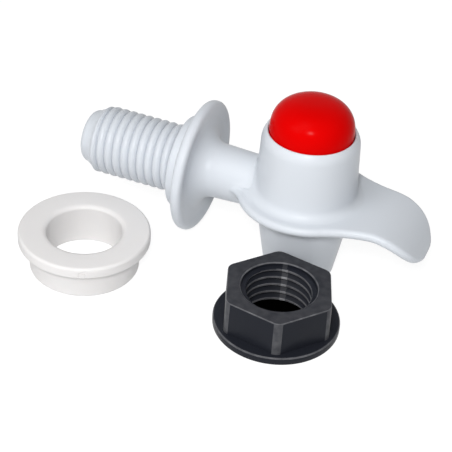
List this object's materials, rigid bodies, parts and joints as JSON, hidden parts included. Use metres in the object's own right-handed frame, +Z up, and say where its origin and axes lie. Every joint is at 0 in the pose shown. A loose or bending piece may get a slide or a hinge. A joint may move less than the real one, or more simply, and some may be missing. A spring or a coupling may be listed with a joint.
{
  "type": "push-button tap",
  "caption": "Moulded push-button tap with a threaded shank, wall flange and finger rest, shown with its loose flanged nut and stepped sealing bush.",
  "frame": {"origin": "on the shank's axis, at the plane of the flange's back face", "axes": "-X along the threaded shank into the vessel, +X along the finger rest, +Z up the barrel through the button"},
  "size_m": [0.1096, 0.065, 0.0544],
  "materials": {
    "body_white": "smooth moulded plastic with a soft gloss",
    "button_red": "polished moulded plastic",
    "stem_white": "natural acetal",
    "seal_black": "moulded nitrile rubber",
    "washer_grey": "moulded silicone rubber",
    "spring_steel": "drawn stainless steel",
    "bush_white": "soft white plastic",
    "nut_dark": "satin dark grey plastic"
  },
  "bodies": {
    "tap": {"tap_body": "body_white", "guide_bush": "stem_white", "guide_bush_seal": "seal_black", "return_spring": "spring_steel", "sealing_bush": "bush_white", "back_nut": "nut_dark"},
    "plunger": {"push_button": "button_red", "button_stem": "stem_white", "stem_seal": "seal_black", "valve_washer": "washer_grey", "backing_plate": "stem_white", "washer_screw": "spring_steel"}
  },
  "joints": [
    {"name": "button_press", "type": "slide", "parent": "tap", "child": "plunger", "axis": [0, 0, -1], "range_m": [0, 0.005], "stiffness_N_per_m": 900, "springref_m": -0.005, "deforming": ["return_spring"]}
  ]
}
